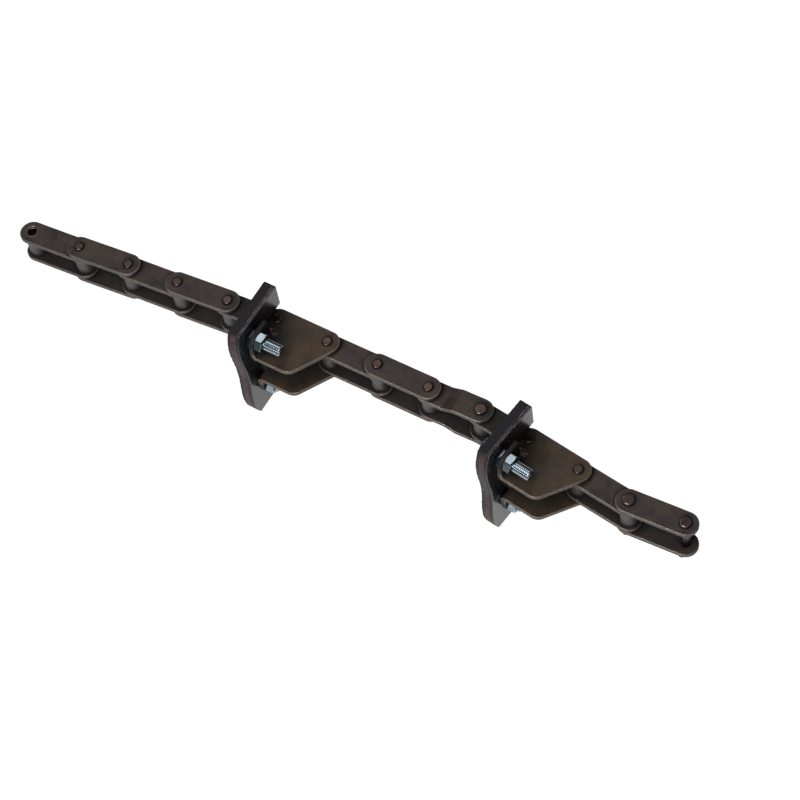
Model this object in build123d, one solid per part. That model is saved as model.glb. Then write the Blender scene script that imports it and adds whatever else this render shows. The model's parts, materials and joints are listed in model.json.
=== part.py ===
from build123d import *
import os
from math import asin, atan2, cos, hypot, radians, sin

os.makedirs("parts", exist_ok=True)

# A strand of double-pitch conveyor chain with two rubber paddles. All lengths are in millimetres.
# The chain's pins stand along Z, and it lies along X and bends in the XY plane. z = 0 is the middle
# of its width, and the origin is the centre of the first bush, where another strand is joined on.
# Each link is drawn in its own frame, with its left pin at the origin and its right pin on +X,
# and "near" is its -Y side, where the paddles reach out. "Upper" and "lower" are +Z and -Z.

# Chain
PITCH = 38.1
PLATE_HEIGHT = 17.0
PLATE_THICKNESS = 3.0
PLATE_EDGE = 0.4
INNER_WIDTH = 18.1
PLATE_GAP = 0.15

# Pins, bushes and rollers
PIN_RADIUS = 2.97
PIN_CLEARANCE = 0.05
BUSH_WALL = 1.23
ROLLER_CLEARANCE = 0.05
ROLLER_RADIUS = 5.95
ROLLER_END_PLAY = 0.2
ROLLER_EDGE = 0.4
RIVET_HEAD_RADIUS = 3.4
RIVET_HEAD_HEIGHT = 1.4
RIVET_HEAD_ROUND = 0.8

# Pins that come out: a flat head above, and a split pin below
LOOSE_HEAD_RADIUS = 3.9
LOOSE_HEAD_HEIGHT = 1.8
LOOSE_HEAD_EDGE = 0.5
LOOSE_PIN_TAIL = 4.2
SPLIT_PIN_DROP = 2.0
SPLIT_WIRE_RADIUS = 1.0
SPLIT_WIRE_GAP = 0.04
SPLIT_PIN_CLEARANCE = 0.05
SPLIT_EYE_RADIUS = 1.2
SPLIT_EYE_LENGTH = 3.0
SPLIT_BEND = 1.15
SPLIT_LEG = 6.5
SPLIT_LEG_ANGLE = 38.0

# Cranked link: narrow at its left end, wide at its right end
CRANK_START = 13.5
CRANK_LENGTH = 8.0
CRANK_ROUND = 4.0

# Attachment plates: a wing beside the link, and a tab bent up from the wing's left edge
WING_REACH = 32.5
WING_CORNER_X = 28.0
WING_CORNER_ROUND = 8.0
TAB_FRONT = 2.6
TAB_HEIGHT = 17.6
TAB_BEND = 0.6
TAB_NEAR_ROUND = 8.5
TAB_FAR_ROUND = 1.5
SLOT_WIDTH = 4.8
SLOT_END = 5.9
SLOT_Y = -9.8

# Paddle: it hangs lower than the chain's mid-plane by its drop
PADDLE_THICKNESS = 9.0
PADDLE_HEIGHT = 95.5
PADDLE_DROP = 8.2
PADDLE_REACH = 37.9
PADDLE_FAR_EDGE = 10.3
PADDLE_LOBE = 1.3
PADDLE_NEAR_CORNER = 3.4
PADDLE_FAR_CORNER = 2.0
NOTCH_HEIGHT = 36.4
NOTCH_DEPTH = 23.9
NOTCH_ROUND = 3.0

# M8 hardware that holds the paddle
BOLT_RADIUS = 4.0
UPPER_BOLT_LENGTH = 35.0
LOWER_BOLT_LENGTH = 25.0
BOLT_CHAMFER = 1.0
BOLT_INSET = 7.6
BOLT_Z = 26.3
HOLE_CLEARANCE = 0.25
HEAD_RADIUS = 6.6
HEAD_HEIGHT = 2.4
HEAD_ROUND = 1.8
HEX_ACROSS_FLATS = 12.0
HEX_CHAMFER = 0.9
HEX_TURN = 35.0
NUT_HEIGHT = 5.5
JAM_NUT_HEIGHT = 3.2
WASHER_RADIUS = 8.0
WASHER_THICKNESS = 1.6

# How the strand lies at rest: each link's direction in the XY plane, in degrees from +X
REST_HEADING = (4, 5, 4, 4.5, 4, -0.5, 0, 0, 1, -7, -8, -7.5, 3)
# What each link is, from left to right
LINK_KIND = (
    "inner", "outer", "inner", "outer", "inner", "attachment", "inner",
    "outer", "cranked", "inner", "attachment", "inner", "connecting",
)

END_RADIUS = PLATE_HEIGHT / 2
INNER_LEVEL = INNER_WIDTH / 2
INNER_FACE = INNER_LEVEL + PLATE_THICKNESS
OUTER_LEVEL = INNER_FACE + PLATE_GAP
OUTER_FACE = OUTER_LEVEL + PLATE_THICKNESS
BUSH_BORE = PIN_RADIUS + PIN_CLEARANCE
BUSH_RADIUS = BUSH_BORE + BUSH_WALL
ROLLER_BORE = BUSH_RADIUS + ROLLER_CLEARANCE
TAB_BACK = TAB_FRONT - PLATE_THICKNESS
BOLT_Y = -WING_REACH + BOLT_INSET
PADDLE_FRONT = TAB_BACK - JAM_NUT_HEIGHT
PADDLE_BACK = PADDLE_FRONT - PADDLE_THICKNESS


def link_place(index):
    """Where a link's own frame lies in the strand at rest."""
    x = sum(PITCH * cos(radians(h)) for h in REST_HEADING[:index])
    y = sum(PITCH * sin(radians(h)) for h in REST_HEADING[:index])
    return Location((x, y, 0), (0, 0, REST_HEADING[index]))


def save(index, name, solids):
    """Write one sub-part of a link, in its place in the strand."""
    placed = [link_place(index) * s for s in solids]
    export_step(Compound(children=placed), f"parts/link_{index + 1:02d}_{name}.step")


def mirrored(solid):
    """The same piece on the other side of the chain's mid-plane."""
    return mirror(solid, about=Plane.XY)


def break_outline(plate, folded_at=None):
    """Take the sharp edge off a flat plate's outline, above and below, but not where it folds up."""
    faces = plate.faces().sort_by(Axis.Z)
    edges = faces[0].outer_wire().edges() + faces[-1].outer_wire().edges()
    if folded_at is not None:
        edges = edges.filter_by(lambda e: abs(e.center().X - folded_at) > 0.01)
    return chamfer(edges, PLATE_EDGE)


def tube(outer, bore, length, edge=0.0):
    """A round tube along Z, centred on the mid-plane."""
    body = Cylinder(outer, length)
    if edge:
        body = chamfer(body.edges().filter_by(GeomType.CIRCLE), edge)
    return body - Cylinder(bore, length + 1)


def straight_plate(level, hole):
    """A link plate with two round ends, its lower face at the given height."""
    outline = Pos(PITCH / 2, 0) * SlotCenterToCenter(PITCH, PLATE_HEIGHT)
    plate = break_outline(Pos(0, 0, level) * extrude(outline, PLATE_THICKNESS))
    for x in (0, PITCH):
        plate -= Pos(x, 0, level) * Cylinder(hole, 4 * PLATE_THICKNESS)
    return plate


def bush(x):
    return Pos(x, 0, 0) * tube(BUSH_RADIUS, BUSH_BORE, 2 * INNER_FACE)


def roller(x):
    length = INNER_WIDTH - 2 * ROLLER_END_PLAY
    return Pos(x, 0, 0) * tube(ROLLER_RADIUS, ROLLER_BORE, length, ROLLER_EDGE)


def rivet_pin(x):
    """A pin with a low spun head on each outer plate."""
    head = Pos(0, 0, RIVET_HEAD_HEIGHT / 2) * Cylinder(RIVET_HEAD_RADIUS, RIVET_HEAD_HEIGHT)
    head = fillet(head.edges().sort_by(Axis.Z)[-1], RIVET_HEAD_ROUND)
    top = Pos(0, 0, OUTER_FACE) * head
    return Pos(x, 0, 0) * (Cylinder(PIN_RADIUS, 2 * OUTER_FACE) + top + mirrored(top))


def split_pin_height():
    return -OUTER_FACE - SPLIT_PIN_DROP


def loose_pin(x):
    """A pin with a flat head above and a cross hole for a split pin below."""
    head = Pos(0, 0, LOOSE_HEAD_HEIGHT / 2) * Cylinder(LOOSE_HEAD_RADIUS, LOOSE_HEAD_HEIGHT)
    head = chamfer(head.edges().sort_by(Axis.Z)[-1], LOOSE_HEAD_EDGE)
    length = 2 * OUTER_FACE + LOOSE_PIN_TAIL
    shank = Cylinder(PIN_RADIUS, length)
    shank = chamfer(shank.edges().sort_by(Axis.Z)[0], LOOSE_HEAD_EDGE)
    pin = Pos(0, 0, OUTER_FACE) * head + Pos(0, 0, -LOOSE_PIN_TAIL / 2) * shank
    radius = SPLIT_WIRE_RADIUS + SPLIT_PIN_CLEARANCE
    hole = Cylinder(radius, 4 * PIN_RADIUS, rotation=(90, 0, 0))
    return Pos(x, 0, 0) * (pin - Pos(0, 0, split_pin_height()) * hole)


def split_pin(x):
    """A half-round wire folded into an eye, its legs side by side in the hole and bent apart beyond it."""
    side = SPLIT_WIRE_GAP / 2
    knee = PIN_RADIUS + SPLIT_WIRE_RADIUS
    lean = radians(SPLIT_LEG_ANGLE)
    leg = (side + SPLIT_LEG * sin(lean), knee + SPLIT_LEG * cos(lean))
    shoulder = (SPLIT_EYE_RADIUS, -knee - SPLIT_EYE_RADIUS)
    eye = (SPLIT_EYE_RADIUS, -knee - SPLIT_EYE_LENGTH)
    half = [leg, (side, knee), (side, -knee), shoulder, eye]
    other_half = [(-px, py) for px, py in reversed(half)]
    path = FilletPolyline(*half, *other_half, radius=SPLIT_BEND)
    disc = Circle(SPLIT_WIRE_RADIUS)
    section = disc & Pos(0, -SPLIT_WIRE_RADIUS) * Rectangle(4 * SPLIT_WIRE_RADIUS, 2 * SPLIT_WIRE_RADIUS)
    start = Plane(origin=path @ 0, x_dir=(0, 0, 1), z_dir=path % 0)
    return Pos(x, 0, split_pin_height()) * sweep(start * section, path=path)


def cranked_plate():
    """The upper plate of the cranked link, which steps out from the inner to the outer level."""
    left = -END_RADIUS
    bend = CRANK_START + CRANK_LENGTH
    right = PITCH + END_RADIUS
    below = [(left, INNER_LEVEL), (CRANK_START, INNER_LEVEL), (bend, OUTER_LEVEL), (right, OUTER_LEVEL)]
    above = [(x, z + PLATE_THICKNESS) for x, z in reversed(below)]
    side = make_face(Polyline(*below, *above, close=True))
    bends = side.vertices().filter_by(lambda v: CRANK_START - 1 < v.X < bend + 1)
    side = fillet(bends, CRANK_ROUND)
    strip = extrude(Plane.XZ * side, PLATE_HEIGHT, both=True)
    outline = Pos(PITCH / 2, 0) * SlotCenterToCenter(PITCH, PLATE_HEIGHT)
    plate = strip & extrude(outline, 2 * OUTER_FACE)
    plate -= Cylinder(BUSH_RADIUS, 4 * OUTER_FACE)
    return plate - Pos(PITCH, 0, 0) * Cylinder(PIN_RADIUS, 4 * OUTER_FACE)


def wing_outline():
    """The attachment plate seen from above: a link with a wing whose slanted edge meets its round end."""
    corner_to_pin = hypot(PITCH - WING_CORNER_X, WING_REACH)
    turn = atan2(WING_REACH, PITCH - WING_CORNER_X) - asin(END_RADIUS / corner_to_pin)
    touch_x = PITCH + END_RADIUS * sin(turn)
    touch_y = -END_RADIUS * cos(turn)
    left = TAB_FRONT + TAB_BEND
    near = -WING_REACH
    wing = make_face(
        Polyline((left, 0), (left, near), (WING_CORNER_X, near), (touch_x, touch_y), (PITCH, 0), close=True)
    )
    corner = wing.vertices().sort_by_distance((WING_CORNER_X, near, 0))[0]
    wing = fillet(corner, WING_CORNER_ROUND)
    body = Pos(PITCH / 2, 0) * SlotCenterToCenter(PITCH, PLATE_HEIGHT)
    return body + wing


def relief_slot():
    """The slot that lets the tab be bent up beside the round end, open to the left."""
    end_x = SLOT_END - SLOT_WIDTH / 2
    slot = Pos(end_x, SLOT_Y) * Circle(SLOT_WIDTH / 2)
    slot += Pos((TAB_BACK + end_x) / 2, SLOT_Y) * Rectangle(end_x - TAB_BACK, SLOT_WIDTH)
    return extrude(slot, 2 * OUTER_FACE)


def tab():
    """The tab that stands up from the wing, with its bend."""
    near = -WING_REACH
    far = SLOT_Y - SLOT_WIDTH / 2
    centre_x = TAB_FRONT + TAB_BEND
    centre_z = OUTER_FACE + TAB_BEND
    outer = TAB_BEND + PLATE_THICKNESS
    ring = Pos(centre_x, centre_z) * (Circle(outer) - Circle(TAB_BEND))
    quarter = Pos(centre_x - outer / 2, centre_z - outer / 2) * Rectangle(outer, outer)
    top = OUTER_FACE + TAB_HEIGHT
    upright = Pos((TAB_FRONT + TAB_BACK) / 2, (top + centre_z) / 2) * Rectangle(
        PLATE_THICKNESS, top - centre_z
    )
    profile = ring & quarter
    stand = extrude(Plane.XZ.offset(-far) * upright, far - near)
    edges = stand.edges().filter_by(Axis.X).group_by(Axis.Z)[-1].sort_by(Axis.Y)
    stand = fillet(edges[0], TAB_NEAR_ROUND)
    edges = stand.edges().filter_by(Axis.X).group_by(Axis.Z)[-1].sort_by(Axis.Y)
    stand = fillet(edges[-1], TAB_FAR_ROUND)
    bend = extrude(Plane.XZ.offset(-far) * profile, far - near)
    return stand + bend


def attachment_plate():
    flat = Pos(0, 0, OUTER_LEVEL) * extrude(wing_outline(), PLATE_THICKNESS)
    flat = break_outline(flat, folded_at=TAB_FRONT + TAB_BEND)
    plate = flat - relief_slot() + tab()
    for x in (0, PITCH):
        plate -= Pos(x, 0, OUTER_LEVEL) * Cylinder(PIN_RADIUS, 4 * PLATE_THICKNESS)
    hole = Cylinder(BOLT_RADIUS + HOLE_CLEARANCE, 4 * PLATE_THICKNESS, rotation=(0, 90, 0))
    return plate - Pos(TAB_FRONT, BOLT_Y, BOLT_Z) * hole


def paddle():
    """A rubber slab that straddles the chain: an open notch on its far side, and a wavy near edge."""
    half = PADDLE_HEIGHT / 2
    near = -PADDLE_REACH
    corner = near + PADDLE_NEAR_CORNER
    wave = Spline(
        (corner, half),
        (near, half * 0.8),
        (near - PADDLE_LOBE * 0.5, half * 0.45),
        (near + PADDLE_LOBE * 0.7, 0),
        (near - PADDLE_LOBE * 0.5, -half * 0.45),
        (near, -half * 0.8),
        (corner, -half),
    )
    rest = Polyline((corner, -half), (PADDLE_FAR_EDGE, -half), (PADDLE_FAR_EDGE, half), (corner, half))
    face = Pos(0, -PADDLE_DROP) * make_face(wave.edges() + rest.edges())
    far = face.vertices().filter_by(lambda v: v.X > 0)
    face = fillet(far, PADDLE_FAR_CORNER)
    notch = Pos(PADDLE_FAR_EDGE, 0) * Rectangle(2 * NOTCH_DEPTH, NOTCH_HEIGHT)
    notch = fillet(notch.vertices().filter_by(lambda v: v.X < 0), NOTCH_ROUND)
    face -= notch
    for z in (-BOLT_Z, BOLT_Z):
        face -= Pos(BOLT_Y, z) * Circle(BOLT_RADIUS + HOLE_CLEARANCE)
    return extrude(Plane.YZ.offset(PADDLE_BACK) * face, PADDLE_THICKNESS)


def hexagon(height):
    """A hexagonal block along +X from its seat, with its corners turned down at both ends."""
    prism = extrude(RegularPolygon(HEX_ACROSS_FLATS / 2, 6, major_radius=False), height)
    corner = HEX_ACROSS_FLATS / 2 / cos(radians(30))
    turned = Pos(0, 0, height / 2) * Cylinder(corner, height)
    turned = chamfer(turned.edges().filter_by(GeomType.CIRCLE), HEX_CHAMFER)
    return Rot(0, 90, 0) * Rot(0, 0, HEX_TURN) * (prism & turned)


def at_bolts(upper, lower, x):
    """A piece on the upper bolt and one on the lower bolt."""
    return [Pos(x, BOLT_Y, z) * piece for piece, z in ((upper, BOLT_Z), (lower, -BOLT_Z))]


def bolt(length):
    """An M8 bolt along +X with a low round head, its head's seat at the origin."""
    shank = Pos(length / 2, 0, 0) * Cylinder(BOLT_RADIUS, length, rotation=(0, 90, 0))
    shank = chamfer(shank.edges().sort_by(Axis.X)[-1], BOLT_CHAMFER)
    head = Pos(-HEAD_HEIGHT / 2, 0, 0) * Cylinder(HEAD_RADIUS, HEAD_HEIGHT, rotation=(0, 90, 0))
    head = fillet(head.edges().filter_by(GeomType.CIRCLE).sort_by(Axis.X)[0], HEAD_ROUND)
    return shank + head


def nut(height):
    return hexagon(height) - Cylinder(BOLT_RADIUS, 4 * height, rotation=(0, 90, 0))


def washer():
    ring = Cylinder(WASHER_RADIUS, WASHER_THICKNESS) - Cylinder(BOLT_RADIUS, 2 * WASHER_THICKNESS)
    return Pos(WASHER_THICKNESS / 2, 0, 0) * Rot(0, 90, 0) * ring


def save_inner(index):
    plate = straight_plate(INNER_LEVEL, BUSH_RADIUS)
    save(index, "inner_plates", [plate, mirrored(plate)])
    save(index, "bushes", [bush(0), bush(PITCH)])
    save(index, "roller_left", [roller(0)])
    save(index, "roller_right", [roller(PITCH)])


def save_outer(index):
    plate = straight_plate(OUTER_LEVEL, PIN_RADIUS)
    save(index, "upper_plate", [plate])
    save(index, "lower_plate", [mirrored(plate)])
    save(index, "rivet_pins", [rivet_pin(0), rivet_pin(PITCH)])


def save_attachment(index):
    plate = attachment_plate()
    save(index, "upper_attachment_plate", [plate])
    save(index, "lower_attachment_plate", [mirrored(plate)])
    save(index, "rivet_pins", [rivet_pin(0), rivet_pin(PITCH)])
    save(index, "paddle", [paddle()])
    seat = PADDLE_BACK - WASHER_THICKNESS
    save(index, "paddle_bolts", at_bolts(bolt(UPPER_BOLT_LENGTH), bolt(LOWER_BOLT_LENGTH), seat))
    save(index, "paddle_washers", at_bolts(washer(), washer(), seat))
    save(index, "jam_nuts", at_bolts(nut(JAM_NUT_HEIGHT), nut(JAM_NUT_HEIGHT), PADDLE_FRONT))
    save(index, "outer_nuts", at_bolts(nut(NUT_HEIGHT), nut(NUT_HEIGHT), TAB_FRONT))


def save_cranked(index):
    plate = cranked_plate()
    save(index, "upper_cranked_plate", [plate])
    save(index, "lower_cranked_plate", [mirrored(plate)])
    save(index, "bush", [bush(0)])
    save(index, "roller", [roller(0)])
    save(index, "loose_pin", [loose_pin(PITCH)])
    save(index, "split_pin", [split_pin(PITCH)])


def save_connecting(index):
    plate = straight_plate(OUTER_LEVEL, PIN_RADIUS)
    save(index, "upper_plate", [plate])
    save(index, "lower_plate", [mirrored(plate)])
    save(index, "loose_pins", [loose_pin(0), loose_pin(PITCH)])
    save(index, "split_pins", [split_pin(0), split_pin(PITCH)])


SAVE = {
    "inner": save_inner,
    "outer": save_outer,
    "attachment": save_attachment,
    "cranked": save_cranked,
    "connecting": save_connecting,
}

for number, kind in enumerate(LINK_KIND):
    SAVE[kind](number)
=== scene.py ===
"""Dresses the packed solids of a double-pitch conveyor chain with rubber paddles, and lights them."""

import json
from math import atan2, cos, pi, radians, sin, tan

import bmesh
import bpy
import numpy as np
from bpy.props import FloatProperty, IntProperty, PointerProperty, StringProperty
from mathutils import Matrix, Vector, noise


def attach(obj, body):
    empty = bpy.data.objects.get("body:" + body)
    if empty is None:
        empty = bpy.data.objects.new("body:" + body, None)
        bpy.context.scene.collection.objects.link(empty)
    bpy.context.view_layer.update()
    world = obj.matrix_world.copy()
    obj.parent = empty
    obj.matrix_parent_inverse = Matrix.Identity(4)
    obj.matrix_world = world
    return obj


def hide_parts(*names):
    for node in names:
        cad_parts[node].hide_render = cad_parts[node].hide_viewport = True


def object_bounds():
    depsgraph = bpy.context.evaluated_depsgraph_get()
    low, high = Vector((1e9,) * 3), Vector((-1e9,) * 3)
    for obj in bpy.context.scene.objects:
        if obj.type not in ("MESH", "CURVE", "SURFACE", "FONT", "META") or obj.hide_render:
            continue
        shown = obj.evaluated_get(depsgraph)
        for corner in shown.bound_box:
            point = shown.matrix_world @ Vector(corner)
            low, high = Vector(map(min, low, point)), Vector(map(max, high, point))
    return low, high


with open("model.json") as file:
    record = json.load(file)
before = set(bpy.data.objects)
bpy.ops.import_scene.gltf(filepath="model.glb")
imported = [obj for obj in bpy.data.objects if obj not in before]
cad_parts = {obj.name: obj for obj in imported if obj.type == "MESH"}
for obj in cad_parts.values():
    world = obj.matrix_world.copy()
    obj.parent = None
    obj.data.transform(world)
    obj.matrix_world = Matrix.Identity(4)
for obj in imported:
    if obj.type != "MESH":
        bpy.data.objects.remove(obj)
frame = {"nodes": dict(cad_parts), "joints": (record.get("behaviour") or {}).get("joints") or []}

bl_info = {
    "name": "Conveyor chain",
    "version": (1, 0, 0),
    "blender": (4, 5, 0),
    "location": "3D View > Sidebar > Chain",
    "description": "Finishes, threaded fasteners and belting paddles for a conveyor chain",
    "category": "Object",
}

CAD_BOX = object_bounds()
MM = 0.001
SCENE = bpy.context.scene

# A Mix node holds one set of sockets for each kind of data: the colour ones, and those for plain numbers.
MIX_FACTOR, MIX_A, MIX_B, MIX_RESULT = 0, 6, 7, 2
NUMBER_A, NUMBER_B = 2, 3
UPPER, LOWER = 1, -1
SIDES = {"upper": UPPER, "lower": LOWER}

SIXTH = pi / 3
STEPS = 72  # points round a fastener
THREAD_ROWS = 8  # rings to each turn of a thread
WELD = 0.001 * MM  # points closer than this are one
SHARP = radians(38)  # edges that turn more than this stay sharp

# Each light: its side and height in degrees, its distance, width and height in metres, and its watts.
LIGHTS = {
    "back_softbox": (-138, 60, 1.5, (0.7, 0.7), 2.7),  # the upper faces mirror it
    "front_strip": (10, 26, 1.6, (3.0, 0.2), 9),  # draws the bright lines along the near edges
    "key_softbox": (-8, 70, 1.5, (0.6, 0.6), 7),
    "glint_lamp": (2, 38, 1.6, (0.22, 1.0), 9),  # puts the glints on pins and threads
}


# ---------------------------------------------------------------- what a user would change


class ChainFinish(bpy.types.PropertyGroup):
    """Colours of the steel, zinc and rubber, as sRGB hex values."""

    plate_dark: StringProperty(name="Plate, dark", description="Mill scale under oil", default="#2c2322")
    plate_light: StringProperty(
        name="Plate, light", description="Mill scale where the oil is thin", default="#493c3a"
    )
    wing_dark: StringProperty(
        name="Wing, dark", description="Oxide on the attachment plates", default="#33271d"
    )
    wing_light: StringProperty(
        name="Wing, light", description="Thin oxide on the attachment plates", default="#4f3f30"
    )
    bare_steel: StringProperty(
        name="Bare steel", description="Edges where the scale is rubbed off", default="#c9bdb2"
    )
    # Also the colour of the painted shadow under the upper plates and on the tabs, and of painted shade in
    # corners.
    grease: StringProperty(name="Grease", description="Old grease in sheltered places", default="#0b0806")
    # Oil and painted shade in the corners of the plain steel parts.
    oil_and_corner_shade: StringProperty(name="Oil film", description="Oil in the corners of pins", default="#1a130d")
    oil_stain: StringProperty(name="Oil stain", description="Olive stains of old oil", default="#453d2e")
    rust: StringProperty(name="Rust", description="Rust blooms in the oil", default="#5a3216")
    roller: StringProperty(name="Roller", description="Shot-blasted roller steel", default="#5d5957")
    pin: StringProperty(name="Pin", description="Oiled pin steel", default="#463a36")
    wire: StringProperty(name="Wire", description="Drawn wire of the split pins", default="#8b8985")
    zinc: StringProperty(name="Zinc", description="Bright zinc plating", default="#98a4ac")
    zinc_dull: StringProperty(name="Zinc, dull", description="Clouds in the zinc", default="#6d7a83")
    # Painted shade in the corners of the zinc.
    zinc_corner_shade: StringProperty(name="Zinc corner", description="Dirt in the corners", default="#26343a")
    rubber: StringProperty(name="Rubber", description="Cover rubber of the belting", default="#1b1a1e")
    rubber_light: StringProperty(name="Rubber, light", description="Clouds in the rubber", default="#1e1d21")
    fabric: StringProperty(name="Fabric", description="Cut ends of the belting's plies", default="#583f38")
    # Pale lines along the top face of the paddles, towards the front.
    thread: StringProperty(
        name="Thread", description="Bare threads along the belting's top edge", default="#b09a9a"
    )


class FastenerShape(bpy.types.PropertyGroup):
    """Sizes of the M8 bolts and nuts that the solids leave plain."""

    thread_pitch: FloatProperty(
        name="Thread pitch", description="From crest to crest", default=1.25 * MM, unit="LENGTH"
    )
    thread_depth: FloatProperty(
        name="Thread depth",
        description="From crest to root, nearly filled with plating and grease",
        default=0.04 * MM,
        unit="LENGTH",
    )
    across_flats: FloatProperty(
        name="Across flats", description="Width of a hexagon", default=12 * MM, unit="LENGTH"
    )
    hex_turn: FloatProperty(
        name="Hexagon turn", description="Turn of the hexagons", default=radians(31), subtype="ANGLE"
    )
    hex_chamfer: FloatProperty(
        name="Chamfer", description="Slope of their turned corners", default=radians(30), subtype="ANGLE"
    )
    countersink: FloatProperty(
        name="Countersink", description="Depth of the turned mouth of a nut", default=0.5 * MM, unit="LENGTH"
    )
    head_round: FloatProperty(
        name="Head round", description="Round of a bolt head's rim", default=1.8 * MM, unit="LENGTH"
    )
    tip_round: FloatProperty(
        name="Tip round", description="Round of a bolt's tip", default=1.3 * MM, unit="LENGTH"
    )


class BeltingShape(bpy.types.PropertyGroup):
    """How the cut edge of the ply belting is built up."""

    ply_spacing: FloatProperty(
        name="Ply spacing", description="From ply to ply", default=1.7 * MM, unit="LENGTH"
    )
    carcass: FloatProperty(
        name="Carcass", description="Thickness of all the plies together", default=5.0 * MM, unit="LENGTH"
    )
    fray: FloatProperty(
        name="Fray", description="How far a cut ply stands proud", default=0.14 * MM, unit="LENGTH"
    )
    voxel: FloatProperty(
        name="Voxel", description="Grain of the remeshed paddle", default=0.55 * MM, unit="LENGTH"
    )
    settle: IntProperty(name="Smoothing", description="Smoothing steps after the remesh", default=3)


class StageLook(bpy.types.PropertyGroup):
    """Camera, floor and lights."""

    azimuth: FloatProperty(
        name="Azimuth", description="Side that the camera stands on", default=radians(39.93), subtype="ANGLE"
    )
    elevation: FloatProperty(
        name="Elevation", description="Height of the camera", default=radians(59.33), subtype="ANGLE"
    )
    roll: FloatProperty(
        name="Roll", description="Tilt of the camera", default=radians(-11.33), subtype="ANGLE"
    )
    distance: FloatProperty(
        name="Distance", description="From the camera to its aim", default=1551.4 * MM, unit="LENGTH"
    )
    aim_x: FloatProperty(
        name="Aim X", description="Where the camera points", default=286.96 * MM, unit="LENGTH"
    )
    aim_y: FloatProperty(
        name="Aim Y", description="Where the camera points", default=4.63 * MM, unit="LENGTH"
    )
    lens: FloatProperty(name="Focal length", description="Of the camera, in millimetres", default=107.96)
    floor: StringProperty(name="Floor", description="Colour of the floor", default="#b0b0b0")
    bench_tint: StringProperty(name="Bench tint", description="Colour of the bench", default="#303234")
    sky_tint: StringProperty(
        name="Sky tint", description="Colour of the light from the room", default="#eaf0f4"
    )
    glow: FloatProperty(name="Glow", description="How much the sheet on the floor glows", default=0.82)
    bench: FloatProperty(name="Bench", description="How much the floor round the sheet glows", default=0.12)
    sheet_x: FloatProperty(
        name="Sheet length", description="Half of the sheet's length", default=342 * MM, unit="LENGTH"
    )
    sheet_y: FloatProperty(
        name="Sheet width", description="Half of the sheet's width", default=365 * MM, unit="LENGTH"
    )
    sheet_shift: FloatProperty(
        name="Sheet shift", description="How far it lies back from the aim", default=72 * MM, unit="LENGTH"
    )
    sheet_turn: FloatProperty(
        name="Sheet turn", description="How far the sheet is turned", default=radians(27), subtype="ANGLE"
    )
    sky: FloatProperty(name="Sky", description="Strength of the light from overhead", default=0.22)
    horizon: FloatProperty(name="Horizon", description="Strength of the light from all round", default=0.05)


# ---------------------------------------------------------------- the strand, read from the frame


def joint_place(name):
    """Where a joint's axis crosses the chain's mid-plane."""
    joint = next(j for j in frame["joints"] if j["name"] == name)
    return Vector(joint["pos_m"])


def link_frame(number):
    """A link's own frame: its left pin at the origin, its right pin on +X."""
    left = joint_place(f"pin_{number - 1:02d}_{number:02d}")
    right = joint_place(f"pin_{number:02d}_{number + 1:02d}")
    heading = atan2(right.y - left.y, right.x - left.x)
    return Matrix.Translation(left) @ Matrix.Rotation(heading, 4, "Z")


def local_box(node, place, side=0):
    """Lowest and highest corner of a node in a link's own frame. A side limits it to what lies above or
    below the mid-plane."""
    to_link = place.inverted()
    points = [to_link @ v.co for v in frame["nodes"][node].data.vertices if side == 0 or v.co.z * side > 0]
    low = Vector([min(p[i] for p in points) for i in range(3)])
    high = Vector([max(p[i] for p in points) for i in range(3)])
    return low, high


def nodes_named(*endings):
    """The CAD nodes whose names end in one of these words."""
    found = [n for n in sorted(frame["nodes"]) if n.endswith(endings)]
    if not found:
        raise RuntimeError(f"the frame has no node whose name ends in {endings}")
    return found


ATTACHMENT_LINKS = [int(n[len("link_"):][:2]) for n in nodes_named("_paddle")]


# ---------------------------------------------------------------- materials


def linear(code):
    """An sRGB hex value as linear red, green, blue and alpha."""
    parts = [int(code[i:i + 2], 16) / 255 for i in (1, 3, 5)]
    return [p / 12.92 if p <= 0.04045 else ((p + 0.055) / 1.055) ** 2.4 for p in parts] + [1.0]


def add(tree, kind, inputs=(), **settings):
    """Adds one node with its settings. An input's value is a number, a colour or the socket that feeds it."""
    node = tree.nodes.new(kind)
    for name, value in settings.items():
        setattr(node, name, value)
    for name, value in dict(inputs).items():
        if isinstance(value, bpy.types.NodeSocket):
            tree.links.new(value, node.inputs[name])
        else:
            node.inputs[name].default_value = value
    return node


def new_tree(name):
    """An empty material, its tree, and a place in millimetres that stays on the piece."""
    material = bpy.data.materials.new(name)
    material.use_nodes = True
    tree = material.node_tree
    tree.nodes.clear()
    coordinates = add(tree, "ShaderNodeTexCoord")
    place = add(
        tree, "ShaderNodeVectorMath", {0: coordinates.outputs["Object"], "Scale": 1 / MM}, operation="SCALE"
    )
    return material, tree, place.outputs[0]


def finish_shader(tree, inputs):
    """Ends a material's tree with its shader and its output."""
    shader = add(tree, "ShaderNodeBsdfPrincipled", inputs)
    add(tree, "ShaderNodeOutputMaterial", {"Surface": shader.outputs[0]})


def rubbed_edges(tree, radius):
    """How rubbed the surface is: 1 on an outer edge, 0 on a flat, and the normal with its edges eased."""
    eased = add(tree, "ShaderNodeBevel", {"Radius": radius}, samples=6)
    flat = add(tree, "ShaderNodeNewGeometry")
    turn = add(
        tree,
        "ShaderNodeVectorMath",
        {0: eased.outputs[0], 1: flat.outputs["Normal"]},
        operation="DOT_PRODUCT",
    )
    share = add(
        tree,
        "ShaderNodeMapRange",
        {"Value": turn.outputs["Value"], "From Min": 0.995, "From Max": 0.85, "To Min": 0.0, "To Max": 1.0},
    )
    return share.outputs[0], eased.outputs[0]


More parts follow.
